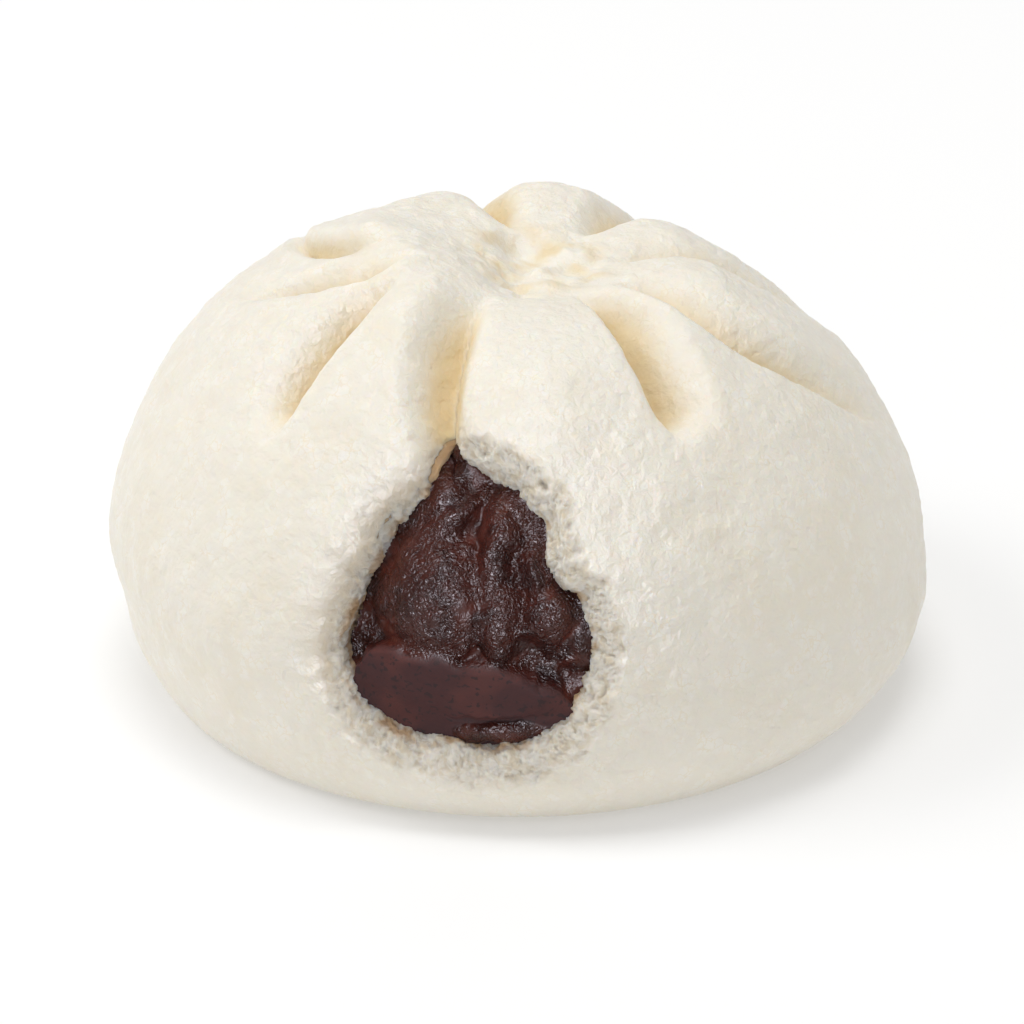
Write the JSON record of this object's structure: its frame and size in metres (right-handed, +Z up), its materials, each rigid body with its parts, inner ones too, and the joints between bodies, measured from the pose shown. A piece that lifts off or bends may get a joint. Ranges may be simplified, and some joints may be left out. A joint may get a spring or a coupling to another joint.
{
  "type": "bean paste bun",
  "caption": "Steamed bun of white dough gathered into pleats round a knot on top, torn open at the front to show its dark red bean paste filling.",
  "frame": {"origin": "middle of the flat underside, at the height of the surface that the bun stands on", "axes": "+Z up, -Y towards the torn side, +X to the right as seen from the torn side"},
  "size_m": [0.0906, 0.0897, 0.0509],
  "materials": {
    "dough": "soft matt cream-white steamed skin, with rough white crumb at the tear",
    "bean_paste": "moist dark red-brown paste with a wrinkled sheen"
  },
  "bodies": {
    "root": {"dough": "dough", "bean_paste": "bean_paste"}
  },
  "joints": []
}
